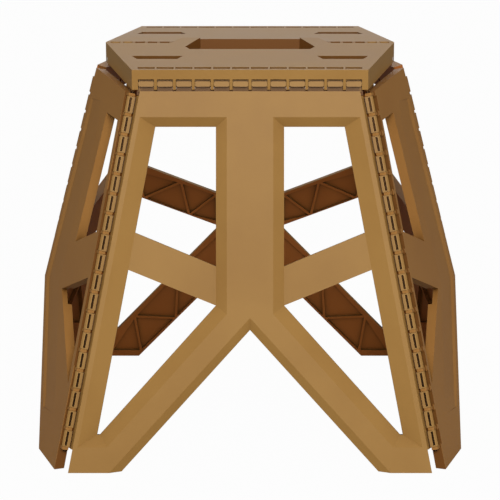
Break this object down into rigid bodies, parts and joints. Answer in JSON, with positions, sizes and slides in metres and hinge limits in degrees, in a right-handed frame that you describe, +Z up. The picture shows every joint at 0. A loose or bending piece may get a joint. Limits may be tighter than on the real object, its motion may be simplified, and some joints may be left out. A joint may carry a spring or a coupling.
{
  "type": "folding stool",
  "caption": "Low folding step stool: two hinged seat halves with a handle hole, splayed leg panels front and rear, and side panels that fold out flat on comb hinges.",
  "frame": {"origin": "on the floor under the middle of the seat", "axes": "+Z up, +X along the seat's centre seam to the right, -Y to the front"},
  "size_m": [0.3518, 0.3272, 0.3247],
  "materials": {
    "moulded_plastic": "satin moulded polypropylene, warm light brown",
    "rod_steel": "plain drawn wire"
  },
  "bodies": {
    "seat_front": {"seat_front_half": "moulded_plastic", "front_seat_hinge_rod": "rod_steel"},
    "seat_rear": {"seat_rear_half": "moulded_plastic", "rear_seat_hinge_rod": "rod_steel", "left_centre_hinge_rod": "rod_steel", "right_centre_hinge_rod": "rod_steel"},
    "front_leg": {"front_leg_panel": "moulded_plastic"},
    "rear_leg": {"rear_leg_panel": "moulded_plastic"},
    "left_front_side": {"left_front_side_panel": "moulded_plastic", "left_front_corner_rod": "rod_steel"},
    "right_front_side": {"right_front_side_panel": "moulded_plastic", "right_front_corner_rod": "rod_steel"},
    "left_rear_side": {"left_rear_side_panel": "moulded_plastic", "left_rear_corner_rod": "rod_steel", "left_middle_hinge_rod": "rod_steel"},
    "right_rear_side": {"right_rear_side_panel": "moulded_plastic", "right_rear_corner_rod": "rod_steel", "right_middle_hinge_rod": "rod_steel"}
  },
  "joints": [
    {"name": "seat_fold", "type": "hinge", "parent": "seat_front", "child": "seat_rear", "pos_m": [0, 0, 0.3075], "axis": [-1, 0, 0], "range_deg": [0, 175]},
    {"name": "front_leg_fold", "type": "hinge", "parent": "seat_front", "child": "front_leg", "pos_m": [0, -0.09596, 0.3075], "axis": [-1, 0, 0], "range_deg": [0, 76.68]},
    {"name": "rear_leg_fold", "type": "hinge", "parent": "seat_rear", "child": "rear_leg", "pos_m": [0, 0.09596, 0.3075], "axis": [1, 0, 0], "range_deg": [0, 76.68]},
    {"name": "left_front_side_fold", "type": "hinge", "parent": "front_leg", "child": "left_front_side", "pos_m": [-0.12424, -0.12748, 0.15], "axis": [0.1878, 0.1927, 0.9631], "range_deg": [0, 69.81]},
    {"name": "right_front_side_fold", "type": "hinge", "parent": "front_leg", "child": "right_front_side", "pos_m": [0.12424, -0.12748, 0.15], "axis": [0.1878, -0.1927, -0.9631], "range_deg": [0, 69.81]},
    {"name": "left_rear_side_fold", "type": "hinge", "parent": "rear_leg", "child": "left_rear_side", "pos_m": [-0.12424, 0.12748, 0.15], "axis": [-0.1878, 0.1927, -0.9631], "range_deg": [0, 69.81]},
    {"name": "right_rear_side_fold", "type": "hinge", "parent": "rear_leg", "child": "right_rear_side", "pos_m": [0.12424, 0.12748, 0.15], "axis": [-0.1878, -0.1927, 0.9631], "range_deg": [0, 69.81]}
  ],
  "couplings": [
    {"joint": "front_leg_fold", "follows": "seat_fold", "ratio": 0.43813},
    {"joint": "rear_leg_fold", "follows": "seat_fold", "ratio": 0.43813},
    {"joint": "left_front_side_fold", "follows": "seat_fold", "ratio": 0.39886},
    {"joint": "right_front_side_fold", "follows": "seat_fold", "ratio": 0.39886},
    {"joint": "left_rear_side_fold", "follows": "seat_fold", "ratio": 0.39886},
    {"joint": "right_rear_side_fold", "follows": "seat_fold", "ratio": 0.39886}
  ]
}
